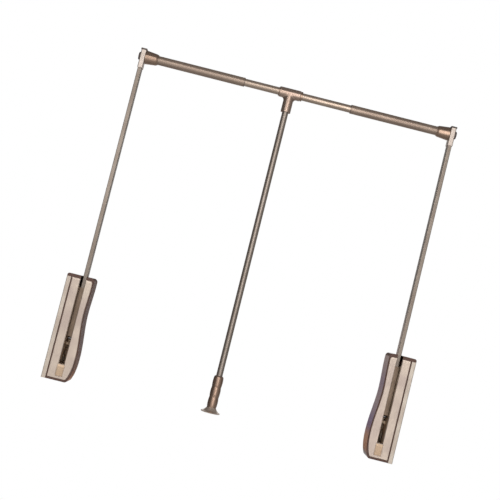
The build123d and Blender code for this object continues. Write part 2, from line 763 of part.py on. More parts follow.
# ---- Tube liner: flanged nylon sleeve in the outer tube's mouth that the inner tube slides in ----
with BuildPart() as tube_liner:
    liner_bore = inner_tube_radius + running_gap
    liner_lip_radius = outer_tube_radius + liner_lip_height
    turned(
        (tube_mouth_x - liner_length, 0, rod_height),
        (1, 0, 0),
        (
            (0, liner_bore),
            (0, outer_bore - seat_gap),
            (liner_length, outer_bore - seat_gap),
            (liner_length, liner_lip_radius),
            (liner_length + liner_lip_thickness, liner_lip_radius),
            (liner_length + liner_lip_thickness, liner_bore),
        ),
    )
keep_pair(tube_liner, "tube_liner")

# ---- Inner tube: joins the two outer tubes and carries the T connector ----
with BuildPart() as inner_tube:
    inner_start = tube_mouth_x - insertion
    tube_shape(
        (inner_start, 0, rod_height),
        (1, 0, 0),
        -2 * inner_start,
        inner_tube_radius,
        inner_tube_radius - inner_tube_wall,
    )
keep(inner_tube, "inner_tube")

# ---- Stop rings: keep the T connector in its place along the inner tube ----
tee_left = tee_x - tee_length / 2
tee_right = tee_x + tee_length / 2
with BuildPart() as stop_rings:
    for ring_start, ring_width in (
        (tee_left - free_gap - left_ring_width, left_ring_width),
        (tee_right + free_gap, right_ring_width),
    ):
        tube_shape(
            (ring_start, 0, rod_height), (1, 0, 0), ring_width, ring_bore + ring_wall, ring_bore
        )
keep(stop_rings, "stop_rings")

# ---- T connector: cast sleeve that turns on the inner tube, with the stem of the pull handle ----
with BuildPart() as tee_connector:
    turned(
        (tee_left, 0, rod_height),
        (1, 0, 0),
        (
            (0, 0),
            (0, tee_radius - tee_bevel),
            (tee_bevel, tee_radius),
            (tee_length - tee_bevel, tee_radius),
            (tee_length, tee_radius - tee_bevel),
            (tee_length, 0),
        ),
    )
    sleeve_edges = tee_connector.edges()
    rod_shape((tee_x, 0, stem_bottom), (0, 0, 1), stem_drop, stem_radius)
    joint_edges = [
        edge
        for edge in tee_connector.edges() - sleeve_edges
        if edge.center().Z > stem_bottom + stem_socket
    ]
    fillet(joint_edges, tee_fillet)
    rod_shape((tee_left, 0, rod_height), (1, 0, 0), tee_length, tee_bore, Mode.SUBTRACT)
    rod_shape((tee_x, 0, stem_bottom), (0, 0, 1), stem_socket, pull_tube_seat, Mode.SUBTRACT)
    stem_screw_place = (tee_x, stem_radius, stem_bottom + stem_screw_up)
    rod_shape(stem_screw_place, (0, -1, 0), stem_radius, stem_screw_radius + seat_gap, Mode.SUBTRACT)
keep(tee_connector, "tee_connector")

# ---- T bush: nylon sleeve between the T connector and the inner tube ----
with BuildPart() as tee_bush:
    tube_shape(
        (tee_left, 0, rod_height),
        (1, 0, 0),
        tee_length,
        tee_bore - seat_gap,
        inner_tube_radius + running_gap,
    )
keep(tee_bush, "tee_bush")

# ---- Stem screw: grub screw at the back that holds the pull tube in the stem ----
with BuildPart() as stem_screw:
    rod_shape(stem_screw_place, (0, -1, 0), stem_radius - pull_tube_radius, stem_screw_radius)
keep(stem_screw, "stem_screw")

# ---- Pull tube: the long handle's round tube ----
pull_tube_bottom = grip_top - grip_socket
with BuildPart() as pull_tube:
    tube_shape(
        (tee_x, 0, pull_tube_bottom),
        (0, 0, 1),
        stem_bottom + stem_socket - pull_tube_bottom,
        pull_tube_radius,
        pull_tube_radius - pull_tube_wall,
    )
keep(pull_tube, "pull_tube")

# ---- Grip: turned handle with a row of soft bulges ----
grip_bottom = grip_top - grip_length
with BuildPart() as grip:
    bulge_height = (grip_length - grip_shoulder) / grip_bulges
    with BuildSketch(Plane.XZ):
        with BuildLine():
            for number in range(grip_bulges):
                low = grip_bottom + number * bulge_height
                ThreePointArc(
                    (tee_x + grip_neck_radius, low),
                    (tee_x + grip_bulge_radius, low + bulge_height / 2),
                    (tee_x + grip_neck_radius, low + bulge_height),
                )
            Polyline(
                (tee_x + grip_neck_radius, grip_top - grip_shoulder),
                (tee_x + grip_neck_radius - grip_shoulder, grip_top),
                (tee_x, grip_top),
                (tee_x, grip_bottom),
                (tee_x + grip_neck_radius, grip_bottom),
            )
        make_face()
    revolve(axis=Axis((tee_x, 0, 0), (0, 0, 1)))
    rod_shape((tee_x, 0, pull_tube_bottom), (0, 0, 1), grip_socket, pull_tube_seat, Mode.SUBTRACT)
    rod_shape(
        (tee_x, 0, grip_bottom), (0, 0, 1), foot_spigot_length, foot_spigot_radius + seat_gap, Mode.SUBTRACT
    )
keep(grip, "grip")

# ---- Grip foot: flared bell that stops the hand sliding off ----
foot_bottom = grip_bottom - foot_height
with BuildPart() as grip_foot:
    with BuildSketch(Plane.XZ):
        with BuildLine():
            ThreePointArc(
                (tee_x + grip_neck_radius, grip_bottom),
                (tee_x + grip_neck_radius + flare_waist_width, foot_bottom + flare_waist_height),
                (tee_x + foot_radius, foot_bottom + foot_edge),
            )
            Polyline(
                (tee_x + foot_radius, foot_bottom + foot_edge),
                (tee_x + foot_radius - foot_edge / 2, foot_bottom),
                (tee_x + foot_radius - foot_edge, foot_bottom),
            )
            Polyline(
                (tee_x + foot_radius - foot_edge, foot_bottom),
                (tee_x + foot_spigot_radius, foot_bottom + foot_hollow),
                (tee_x, foot_bottom + foot_hollow),
                (tee_x, grip_bottom),
                (tee_x + grip_neck_radius, grip_bottom),
            )
        make_face()
    revolve(axis=Axis((tee_x, 0, 0), (0, 0, 1)))
    rod_shape((tee_x, 0, grip_bottom), (0, 0, 1), foot_spigot_length, foot_spigot_radius)
keep(grip_foot, "grip_foot")
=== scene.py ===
from math import cos, pi, radians, sin

import bmesh
import bpy
from mathutils import Matrix, Vector


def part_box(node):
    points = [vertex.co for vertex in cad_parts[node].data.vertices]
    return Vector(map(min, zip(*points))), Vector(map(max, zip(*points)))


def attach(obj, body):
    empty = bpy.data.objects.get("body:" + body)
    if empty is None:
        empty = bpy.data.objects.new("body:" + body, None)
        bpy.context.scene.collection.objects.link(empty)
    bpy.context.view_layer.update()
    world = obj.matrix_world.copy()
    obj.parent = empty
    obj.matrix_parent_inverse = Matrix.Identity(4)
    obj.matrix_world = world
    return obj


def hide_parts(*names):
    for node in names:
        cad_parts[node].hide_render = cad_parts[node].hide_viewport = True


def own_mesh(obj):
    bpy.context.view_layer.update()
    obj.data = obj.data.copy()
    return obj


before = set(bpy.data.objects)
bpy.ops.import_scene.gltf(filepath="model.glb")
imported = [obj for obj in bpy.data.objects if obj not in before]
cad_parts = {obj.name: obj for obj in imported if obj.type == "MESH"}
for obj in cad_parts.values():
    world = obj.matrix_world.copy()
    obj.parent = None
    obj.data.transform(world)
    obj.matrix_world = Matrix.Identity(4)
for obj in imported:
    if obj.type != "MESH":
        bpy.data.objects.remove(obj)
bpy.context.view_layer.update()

# ---- Camera ----
# A long lens, a little left of the middle and level with the housings' tops, tilted up to take in the
# rod, and rolled so that the whole lift leans clockwise in the frame.
camera_place = Vector((-0.05061, -2.52442, 0.28355))
camera_yaw, camera_pitch, camera_roll = radians(-0.649), radians(3.21), radians(14.071)
camera = bpy.data.objects.new("camera", bpy.data.cameras.new("camera"))
camera.data.lens = 73.08
camera.data.sensor_width = 36
camera.matrix_world = (
    Matrix.Translation(camera_place)
    @ Matrix.Rotation(camera_yaw, 4, "Z")
    @ Matrix.Rotation(radians(90) + camera_pitch, 4, "X")
    @ Matrix.Rotation(camera_roll, 4, "Z")
)
bpy.context.scene.collection.objects.link(camera)
bpy.context.scene.camera = camera

# ---- Wall brackets ----
# Two channels of 2 mm steel, folded on a press brake and sprayed with champagne metallic lacquer. Each is
# screwed flat to a side wall, and its front flange stays in sight as a pale strip beside the housing.
MM = 0.001
SIDES = ("left", "right")


def srgb(red, green, blue):
    """A colour as it reads on a paint card, 0 to 255, in linear values."""
    shares = [channel / 255 for channel in (red, green, blue)]
    return (*[((share + 0.055) / 1.055) ** 2.4 for share in shares], 1)


def effect_group(name, inputs, outputs):
    """An empty shader group with its sockets; an input is (name, kind, value), an output (name, kind)."""
    group = bpy.data.node_groups.new(name, "ShaderNodeTree")
    for socket, kind, value in inputs:
        made = group.interface.new_socket(name=socket, in_out="INPUT", socket_type="NodeSocket" + kind)
        made.default_value = value
    for socket, kind in outputs:
        group.interface.new_socket(name=socket, in_out="OUTPUT", socket_type="NodeSocket" + kind)
    return group, group.nodes.new("NodeGroupInput"), group.nodes.new("NodeGroupOutput")


def add(tree, kind, **values):
    """A new node; values name its input sockets, with _ for a space."""
    node = tree.nodes.new("ShaderNode" + kind)
    for socket, value in values.items():
        node.inputs[socket.replace("_", " ")].default_value = value
    return node


def join(tree, *links):
    """Links pairs of sockets, each given as output, input."""
    for output, entry in links:
        tree.links.new(output, entry)


# Press-folded and cast edges are never knife sharp: their light turns over a small radius.
bevel_samples = 4
soft_edge, entry, result = effect_group(
    "soft_edge",
    [("Radius", "Float", 0.4 * MM)],
    [("Normal", "Vector")],
)
rounding = add(soft_edge, "Bevel")
rounding.samples = bevel_samples
join(
    soft_edge,
    (entry.outputs["Radius"], rounding.inputs["Radius"]),
    (rounding.outputs["Normal"], result.inputs["Normal"]),
)

# Edges rubbed bare by hands and cloth, and paler too as a painted highlight: the finish thins and pales
# where the surface turns, in broken patches. The two cosines tell where a turn starts to pale and where it
# is fully pale.
turn_starts, turn_is_full = 0.985, 0.86
edge_wear_and_highlight, entry, result = effect_group(
    "edge_wear_and_highlight",
    [("Radius", "Float", 0.8 * MM), ("Amount", "Float", 0.5), ("Patches", "Float", 160.0)],
    [("Mask", "Float")],
)
turned = add(edge_wear_and_highlight, "Bevel")
turned.samples = bevel_samples
surface = add(edge_wear_and_highlight, "NewGeometry")
sameness = add(edge_wear_and_highlight, "VectorMath")
sameness.operation = "DOT_PRODUCT"
edge = add(edge_wear_and_highlight, "MapRange", From_Min=turn_starts, From_Max=turn_is_full)
where = add(edge_wear_and_highlight, "TexCoord")
patches = add(edge_wear_and_highlight, "TexNoise", Detail=4.0, Roughness=0.65)
broken = add(edge_wear_and_highlight, "MapRange", From_Min=0.46, From_Max=0.60)
rubbed_and_highlit = add(edge_wear_and_highlight, "Math")
rubbed_and_highlit.operation = "MULTIPLY"
share = add(edge_wear_and_highlight, "Math")
share.operation = "MULTIPLY"
join(
    edge_wear_and_highlight,
    (entry.outputs["Radius"], turned.inputs["Radius"]),
    (turned.outputs["Normal"], sameness.inputs[0]),
    (surface.outputs["Normal"], sameness.inputs[1]),
    (sameness.outputs["Value"], edge.inputs["Value"]),
    (where.outputs["Object"], patches.inputs["Vector"]),
    (entry.outputs["Patches"], patches.inputs["Scale"]),
    (patches.outputs["Fac"], broken.inputs["Value"]),
    (edge.outputs["Result"], rubbed_and_highlit.inputs[0]),
    (broken.outputs["Result"], rubbed_and_highlit.inputs[1]),
    (rubbed_and_highlit.outputs["Value"], share.inputs[0]),
    (entry.outputs["Amount"], share.inputs[1]),
    (share.outputs["Value"], result.inputs["Mask"]),
)

# Grain of a finish: spray speckle, or drawing lines where Stretch squeezes it along one axis.
grain, entry, result = effect_group(
    "grain",
    [("Stretch", "Vector", (1.0, 1.0, 1.0)), ("Scale", "Float", 900.0)],
    [("Height", "Float"), ("Cloud", "Float")],
)
where = add(grain, "TexCoord")
stretched = add(grain, "VectorMath")
stretched.operation = "MULTIPLY"
speckle = add(grain, "TexNoise", Detail=3.0, Roughness=0.6)
cloud = add(grain, "TexNoise", Scale=22.0, Detail=3.0, Roughness=0.55)
join(
    grain,
    (where.outputs["Object"], stretched.inputs[0]),
    (entry.outputs["Stretch"], stretched.inputs[1]),
    (stretched.outputs["Vector"], speckle.inputs["Vector"]),
    (entry.outputs["Scale"], speckle.inputs["Scale"]),
    (where.outputs["Object"], cloud.inputs["Vector"]),
    (speckle.outputs["Fac"], result.inputs["Height"]),
    (cloud.outputs["Fac"], result.inputs["Cloud"]),
)

# Stretches of the grain, the softness of edges, and the colour sockets of a Mix node.
EVEN = (1.0, 1.0, 1.0)
ALONG_X = (0.02, 1.0, 1.0)
ALONG_Z = (1.0, 1.0, 0.02)
PRESSED_EDGE = 0.4 * MM
TURNED_EDGE = 0.05 * MM
MIX_A, MIX_B, MIX_RESULT = 6, 7, 2


def lay_grain(tree, scale, stretch, depth, least_rough, most_rough, edge_radius):
    """Lays grain over a finish: it roughens the surface between two limits, and the edges are softened."""
    shader = tree.nodes["Principled BSDF"]
    fine = add(tree, "Group")
    fine.node_tree = grain
    fine.inputs["Stretch"].default_value = stretch
    fine.inputs["Scale"].default_value = scale
    round_off = add(tree, "Group")
    round_off.node_tree = soft_edge
    round_off.inputs["Radius"].default_value = edge_radius
    sheen = add(tree, "MapRange", From_Min=0.3, From_Max=0.7, To_Min=least_rough, To_Max=most_rough)
    bump = add(tree, "Bump", Strength=depth, Distance=0.2 * MM)
    join(
        tree,
        (fine.outputs["Height"], sheen.inputs["Value"]),
        (sheen.outputs["Result"], shader.inputs["Roughness"]),
        (fine.outputs["Height"], bump.inputs["Height"]),
        (round_off.outputs["Normal"], bump.inputs["Normal"]),
        (bump.outputs["Normal"], shader.inputs["Normal"]),
    )
    return fine


def metal(
    name, colour, shade, bare_and_highlight, metallic, roughness,
    coat=0.0, scale=900.0, stretch=EVEN, depth=0.02, wear_and_highlight=0.5, edge_radius=PRESSED_EDGE,
):
    """A sprayed, plated or drawn metal: two tones in clouds, grain, softened edges, and paler edges that
    are partly worn bare and partly a painted highlight.
    """
    material = bpy.data.materials.new(name)
    material.use_nodes = True
    tree = material.node_tree
    shader = tree.nodes["Principled BSDF"]
    shader.inputs["Metallic"].default_value = metallic
    shader.inputs["Coat Weight"].default_value = coat
    shader.inputs["Coat Roughness"].default_value = 0.25
    fine = lay_grain(tree, scale, stretch, depth, roughness * 0.82, roughness * 1.2, edge_radius)
    # Turned edges take the paler colour: partly bare metal where worn, partly a painted highlight.
    rub_and_highlight = add(tree, "Group")
    rub_and_highlight.node_tree = edge_wear_and_highlight
    rub_and_highlight.inputs["Amount"].default_value = wear_and_highlight
    clouds = add(tree, "MapRange", From_Min=0.35, From_Max=0.65)
    tones = add(tree, "Mix")
    tones.data_type = "RGBA"
    tones.inputs[MIX_A].default_value = colour
    tones.inputs[MIX_B].default_value = shade
    worn_and_highlit = add(tree, "Mix")
    worn_and_highlit.data_type = "RGBA"
    worn_and_highlit.inputs[MIX_B].default_value = bare_and_highlight
    join(
        tree,
        (fine.outputs["Cloud"], clouds.inputs["Value"]),
        (clouds.outputs["Result"], tones.inputs["Factor"]),
        (tones.outputs[MIX_RESULT], worn_and_highlit.inputs[MIX_A]),
        (rub_and_highlight.outputs["Mask"], worn_and_highlit.inputs["Factor"]),
        (worn_and_highlit.outputs[MIX_RESULT], shader.inputs["Base Color"]),
    )
    return material


def finish_with(material, *names):
    """Gives a finish to CAD pieces, by the names of their nodes."""
    for name in names:
        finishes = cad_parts[name].data.materials
        finishes.clear()
        finishes.append(material)


def both(name):
    """The left and the right node of a piece that each housing or arm has."""
    return [f"{side}_{name}" for side in SIDES]


bracket_lacquer = metal(
    "bracket_lacquer",
    srgb(210, 197, 182),
    srgb(192, 176, 162),
    srgb(232, 224, 214),
    metallic=0.5,
    roughness=0.36,
    coat=0.15,
)
finish_with(bracket_lacquer, *both("wall_bracket"))

# ---- Frames, posts, plungers, spring anchors and crossheads ----
# The folded channel that carries the mechanism, its four turned posts, the plunger's yoke and the blocks of
# the spring: yellow-passivated zinc plate over pressed steel, cloudy and a little brown. Its colour is made
# paler than the plate is, as painted light inside the dim housing.
pale_zinc_painted_light = metal(
    "zinc_plate_painted_light",
    srgb(226, 200, 172),
    srgb(208, 182, 154),
    srgb(232, 220, 204),
    metallic=0.2,
    roughness=0.45,
    scale=500.0,
    depth=0.05,
)
finish_with(pale_zinc_painted_light, *both("mechanism_frame"), *both("frame_spacers"), *both("plunger"))
finish_with(pale_zinc_painted_light, *both("spring_anchor"), *both("crosshead"))

# ---- Pins, rivets and damper rods ----
# Turned and ground steel, left bright and lightly oiled. The pins run across the housing, so their tool
# marks are rings round X.
bright_steel = metal(
    "bright_steel",
    srgb(190, 190, 192),
    srgb(176, 175, 176),
    srgb(214, 214, 216),
    metallic=1.0,
    roughness=0.22,
    scale=700.0,
    stretch=(1.0, 0.05, 0.05),
    depth=0.04,
)
finish_with(bright_steel, *both("pivot_pin"), *both("crank_pin"), *both("arm_rivets"), *both("damper_rod"))

# ---- Bushes and tube liners ----
# Injection-moulded nylon: natural white at the pivots, near black where a tube slides or turns. They are
# pressed into the swing brackets, the outer tubes' mouths and the T.


def moulded(name, colour, shade, roughness, scale=1200.0, depth=0.05, coat=0.0):
    """A moulded plastic or rubber: faint clouds in its colour, spark-eroded texture and softened edges."""
    material = bpy.data.materials.new(name)
    material.use_nodes = True
    tree = material.node_tree
    shader = tree.nodes["Principled BSDF"]
    shader.inputs["Coat Weight"].default_value = coat
    shader.inputs["Coat Roughness"].default_value = 0.12
    fine = lay_grain(tree, scale, EVEN, depth, roughness * 0.85, roughness * 1.15, PRESSED_EDGE)
    tones = add(tree, "Mix")
    tones.data_type = "RGBA"
    tones.inputs[MIX_A].default_value = colour
    tones.inputs[MIX_B].default_value = shade
    join(
        tree,
        (fine.outputs["Cloud"], tones.inputs["Factor"]),
        (tones.outputs[MIX_RESULT], shader.inputs["Base Color"]),
    )
    return material


natural_nylon = moulded("natural_nylon", srgb(232, 228, 214), srgb(222, 216, 198), 0.45)
dark_nylon = moulded("dark_nylon", srgb(62, 54, 50), srgb(50, 43, 40), 0.42)
finish_with(natural_nylon, *both("pivot_bushes"))
finish_with(dark_nylon, *both("tube_liner"), "tee_bush")

# ---- Swing brackets ----
# The folded steel shoe that grips each arm's foot: pressed sheet with the arm's own taupe lacquer, a little
# rubbed where it passes the slot, and with a painted highlight on its edges.
shoe_lacquer = metal(
    "shoe_lacquer",
    srgb(140, 120, 103),
    srgb(126, 107, 90),
    srgb(190, 176, 162),
    metallic=0.7,
    roughness=0.34,
    wear_and_highlight=0.8,
)
finish_with(shoe_lacquer, *both("swing_bracket"))

# ---- Lift springs ----
# A compression spring of 2.2 mm oiled wire round each plunger rod: six open turns, with a dead turn ground
# flat at both ends. It is squeezed between the crosshead and the anchor as the arm comes down.
wire_radius = 1.1 * MM
wire_sides = 14
coil_radius = 6.4 * MM
coil_y = 16.5 * MM
open_turns = 6
steps_a_turn = 36
ground_off = 0.3 * MM      # taken off the wire at each flat end
weld_distance, cut_slack = 0.01 * MM, 0.001 * MM
spring_wire = metal(
    "oiled_spring_wire",
    srgb(206, 190, 174),
    srgb(186, 170, 154),
    srgb(226, 216, 204),
    metallic=0.5,
    roughness=0.34,
    scale=1500.0,
    depth=0.03,
)
for side in SIDES:
    low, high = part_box(f"{side}_lift_spring")
    axis_x = (low.x + high.x) / 2
    dead_rise = 2 * wire_radius
    coil_start = low.z + wire_radius - ground_off
    coil_end = high.z - wire_radius + ground_off
    open_rise = (coil_end - coil_start - 2 * dead_rise) / open_turns
    coil = bmesh.new()
    wire_start = Matrix.Translation((axis_x + coil_radius, coil_y, coil_start))
    bmesh.ops.create_circle(
        coil,
        cap_ends=True,
        segments=wire_sides,
        radius=wire_radius,
        matrix=wire_start @ Matrix.Rotation(pi / 2, 4, "X"),
    )
    wire_end = coil.edges[:] + coil.faces[:]
    for turns, rise in ((1, dead_rise), (open_turns, open_rise), (1, dead_rise)):
        grown = bmesh.ops.spin(
            coil,
            geom=wire_end,
            cent=(axis_x, coil_y, 0),
            axis=(0, 0, 1),
            dvec=(0, 0, rise / steps_a_turn),
            angle=2 * pi * turns,
            steps=steps_a_turn * turns,
        )
        wire_end = [piece for piece in grown["geom_last"] if not isinstance(piece, bmesh.types.BMVert)]
    bmesh.ops.remove_doubles(coil, verts=coil.verts[:], dist=weld_distance)
    for ground_z, outwards in ((low.z, -1), (high.z, 1)):
        cut = bmesh.ops.bisect_plane(
            coil,
            geom=coil.verts[:] + coil.edges[:] + coil.faces[:],
            dist=cut_slack,
            plane_co=(0, 0, ground_z),
            plane_no=(0, 0, outwards),
            clear_outer=True,
        )
        rims = [piece for piece in cut["geom_cut"] if isinstance(piece, bmesh.types.BMEdge)]
        bmesh.ops.triangle_fill(coil, edges=rims, use_beauty=True)
    bmesh.ops.recalc_face_normals(coil, faces=coil.faces[:])
    for face in coil.faces:
        face.smooth = abs(face.normal.z) < 0.999
    spring_mesh = bpy.data.meshes.new(f"{side}_coil_spring")
    coil.to_mesh(spring_mesh)
    coil.free()
    spring = bpy.data.objects.new(f"{side}_coil_spring", spring_mesh)
    bpy.context.scene.collection.objects.link(spring)
    spring.data.materials.append(spring_wire)
    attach(spring, f"{side}_housing")
    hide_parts(f"{side}_lift_spring")
    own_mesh(spring)

# ---- Damper cylinders ----
# Drawn steel tube with rolled ends, dipped in black lacquer, and welded by two lugs to the frame's cheek.
# Oil inside it slows the arms on their way up.
damper_black = metal(
    "damper_black",
    srgb(46, 45, 47),
    srgb(38, 37, 38),
    srgb(120, 118, 116),
    metallic=0.3,
    roughness=0.3,
    coat=0.3,
    stretch=ALONG_Z,
)
finish_with(damper_black, *both("damper_cylinder"))

# ---- Bump stops ----
# A block of black rubber behind each arm, glued to the frame's web. It takes the arm's last knock as it
# comes up to stand.
bump_rubber = moulded("bump_rubber", srgb(40, 39, 39), srgb(32, 31, 31), 0.62, scale=1600.0, depth=0.12)
finish_with(bump_rubber, *both("bump_stop"))

# ---- Housing shells ----
# The dark brown cover over each mechanism: glossy moulded plastic with a curved side, slipped over the
# bracket and held by two screws at the back.
shell_brown = moulded("shell_brown", srgb(98, 64, 50), srgb(82, 53, 42), 0.2, scale=1400.0, depth=0.02)
finish_with(shell_brown, *both("housing_shell"))

# ---- Front plates and slot caps ----
# A 3 mm plate in champagne metallic lacquer closes the front of each shell. The little square-framed cap
# under its slot is sprayed a warmer gold and pressed in flush.
plate_lacquer = metal(
    "plate_lacquer",
    srgb(208, 191, 175),
    srgb(190, 172, 160),
    srgb(238, 226, 214),
    metallic=0.6,
    roughness=0.32,
    coat=0.2,
)
cap_lacquer = metal(
    "cap_lacquer",
    srgb(198, 171, 143),
    srgb(184, 156, 129),
    srgb(240, 222, 200),
    metallic=0.65,
    roughness=0.26,
    coat=0.2,
)
finish_with(plate_lacquer, *both("front_fascia"))
finish_with(cap_lacquer, *both("slot_cap"))

# ---- Cover screws and the stem's grub screw ----
# Small zinc-plated screws: countersunk with a cross recess at the back of each housing, and a hexagon
# socket set screw at the back of the T's stem. They are rolled and plated, so their edges are bright, and a
# painted highlight makes them paler still.
screw_sides = 48


def screw(name, place, head, sink, shank, length, recess, recess_depth, recess_taper):
    """A screw that faces +Y, its driving recess given by the corner points (x, z) in order."""
    body = bmesh.new()
    bmesh.ops.create_circle(body, segments=screw_sides, radius=head)
    rim = body.edges[:]
    corners = [body.verts.new((x, z, 0)) for x, z in recess]
    lip = [body.edges.new((corner, corners[number - 1])) for number, corner in enumerate(corners)]
    bmesh.ops.triangle_fill(body, edges=rim + lip, use_beauty=True)
    for loop, profile in (
        (lip, ((recess_depth, recess_taper),)),
        (rim, ((sink, shank / head), (length - sink, 1.0))),
    ):
        for drop, shrink in profile:
            grown = bmesh.ops.extrude_edge_only(body, edges=loop)["geom"]
            ends = [piece for piece in grown if isinstance(piece, bmesh.types.BMVert)]
            edges = [piece for piece in grown if isinstance(piece, bmesh.types.BMEdge)]
            loop = [piece for piece in edges if set(piece.verts) <= set(ends)]
            bmesh.ops.scale(body, vec=(shrink, shrink, 1), verts=ends)
            bmesh.ops.translate(body, vec=(0, 0, -drop), verts=ends)
        bmesh.ops.triangle_fill(body, edges=loop, use_beauty=True)
    bmesh.ops.recalc_face_normals(body, faces=body.faces[:])
    body.transform(Matrix.Translation(place) @ Matrix.Rotation(-pi / 2, 4, "X"))
    screw_mesh = bpy.data.meshes.new(name)
    body.to_mesh(screw_mesh)
    body.free()
    made = bpy.data.objects.new(name, screw_mesh)
    bpy.context.scene.collection.objects.link(made)
    made.data.materials.append(bright_steel)
    return made


# The corners of the cross recess, a quarter of it turned four times.
cross_reach, cross_half = 1.7 * MM, 0.38 * MM
cross_quarter = ((cross_reach, -cross_half), (cross_reach, cross_half), (cross_half, cross_half))
cross_recess = []
for turn in range(4):
    for x, z in cross_quarter:
        across, up = cos(turn * pi / 2), sin(turn * pi / 2)
        cross_recess.append((x * across - z * up, x * up + z * across))
screw_heights = {"lower": 62 * MM, "upper": 196 * MM}
for side in SIDES:
    low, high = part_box(f"{side}_cover_screws")
    for level, height in screw_heights.items():
        cover_screw = screw(
            f"{side}_{level}_cover_screw",
            ((low.x + high.x) / 2, high.y, height),
            head=2.9 * MM,
            sink=1.4 * MM,
            shank=1.5 * MM,
            length=high.y - low.y,
            recess=cross_recess,
            recess_depth=1.2 * MM,
            recess_taper=0.5,
        )
        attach(cover_screw, f"{side}_housing")
        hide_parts(f"{side}_cover_screws")

low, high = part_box("stem_screw")
hexagon_reach = 1.15 * MM
stem_screw = screw(
    "stem_grub_screw",
    ((low.x + high.x) / 2, high.y, (low.z + high.z) / 2),
    head=1.7 * MM,
    sink=0.3 * MM,
    shank=2.0 * MM,
    length=high.y - low.y,
    recess=[(hexagon_reach * cos(turn * pi / 3), hexagon_reach * sin(turn * pi / 3)) for turn in range(6)],
    recess_depth=1.6 * MM,
    recess_taper=1.0,
)
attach(stem_screw, "pull_handle")
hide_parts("stem_screw")

# ---- Arms ----
# Flat steel tube with rounded corners, drawn and then sprayed a taupe champagne, a little darker than the
# heads. Its foot is riveted into the swing bracket.
arm_lacquer = metal(
    "arm_lacquer",
    srgb(143, 131, 120),
    srgb(133, 120, 109),
    srgb(190, 180, 170),
    metallic=0.75,
    roughness=0.26,
    coat=0.15,
    stretch=ALONG_Z,
)
finish_with(arm_lacquer, *both("arm_tube"))

# ---- Arm heads, their caps and bolts ----
# Die-cast zinc heads in pale, slightly pink champagne lacquer. The lid and the bolt's round cap are dark
# brown plastic, pressed on.
head_lacquer = metal(
    "head_lacquer",
    srgb(204, 190, 180),
    srgb(188, 174, 163),
    srgb(228, 217, 207),
    metallic=0.75,
    roughness=0.3,
    coat=0.15,
    stretch=ALONG_Z,
    depth=0.04,
)
cap_plastic = moulded("cap_plastic", srgb(80, 62, 52), srgb(66, 50, 42), 0.26, coat=0.2)
finish_with(head_lacquer, *both("arm_head"))
finish_with(cap_plastic, *both("head_cap"), *both("rod_bolt"))

# ---- Collars and stop rings ----
# The collars are turned cones that hold the rod's ends at the heads, and the stop rings keep the T in its
# place on the rod. All are in bronze lacquer, with the fine rings of the lathe under it.
collar_bronze = metal(
    "collar_bronze",
    srgb(162, 136, 118),
    srgb(152, 127, 109),
    srgb(220, 196, 174),
    metallic=0.9,
    roughness=0.24,
    coat=0.3,
    scale=700.0,
    stretch=(1.0, 0.03, 0.03),
    depth=0.01,
    edge_radius=TURNED_EDGE,
)
finish_with(collar_bronze, *both("collar"), "stop_rings")

# ---- Telescopic rod ----
# Anodised aluminium tube, brushed lengthways: taupe outside, paler champagne on the inner tube that
# slides and shows in the middle.
outer_anodised = metal(
    "outer_anodised",
    srgb(160, 141, 126),
    srgb(152, 132, 118),
    srgb(190, 174, 160),
    metallic=0.75,
    roughness=0.32,
    scale=1100.0,
    stretch=ALONG_X,
    depth=0.05,
    edge_radius=TURNED_EDGE,
)
inner_anodised = metal(
    "inner_anodised",
    srgb(182, 163, 147),
    srgb(172, 153, 137),
    srgb(214, 200, 186),
    metallic=0.8,
    roughness=0.24,
    scale=1100.0,
    stretch=ALONG_X,
    depth=0.04,
    edge_radius=TURNED_EDGE,
)
finish_with(outer_anodised, *both("outer_tube"))
finish_with(inner_anodised, "inner_tube")

# ---- T connector ----
# A zinc casting in semi-gloss bronze lacquer that turns on the rod on a nylon bush. Its stem holds the pull
# tube with a grub screw.
tee_bronze = metal(
    "tee_bronze",
    srgb(178, 154, 138),
    srgb(168, 143, 127),
    srgb(220, 200, 182),
    metallic=0.9,
    roughness=0.22,
    coat=0.7,
    depth=0.006,
    edge_radius=TURNED_EDGE,
)
finish_with(tee_bronze, "tee_connector")

# ---- Pull tube ----
# Anodised aluminium tube in a greyer champagne, brushed along its length. It hangs from the T's stem and
# carries the grip.
pull_anodised = metal(
    "pull_anodised",
    srgb(158, 146, 136),
    srgb(148, 135, 124),
    srgb(200, 190, 180),
    metallic=0.8,
    roughness=0.24,
    scale=1100.0,
    stretch=ALONG_Z,
    depth=0.04,
    edge_radius=TURNED_EDGE,
)
finish_with(pull_anodised, "pull_tube")

# ---- Grip and its foot ----
# Turned metal in semi-gloss bronze lacquer, polished by the hand on its three bulges, its edges paler as
# wear and painted highlight. The flared foot is a piece of its own, in a greyer batch of the lacquer, made
# paler still as painted light on its flare.
grip_bronze = metal(
    "grip_bronze",
    srgb(166, 137, 118),
    srgb(156, 128, 110),
    srgb(216, 192, 168),
    metallic=0.9,
    roughness=0.25,
    coat=0.5,
    depth=0.006,
    wear_and_highlight=0.6,
    edge_radius=TURNED_EDGE,
)
# The foot's colour is partly its own greyer tone and partly painted light on the flare.
grey_foot_bronze_painted_light = metal(
    "grey_foot_bronze_painted_light",
    srgb(200, 180, 164),
    srgb(188, 168, 152),
    srgb(226, 210, 194),
    metallic=0.8,
    roughness=0.3,
    coat=0.5,
    depth=0.006,
    wear_and_highlight=0.6,
    edge_radius=TURNED_EDGE,
)
finish_with(grip_bronze, "grip")
finish_with(grey_foot_bronze_painted_light, "grip_foot")

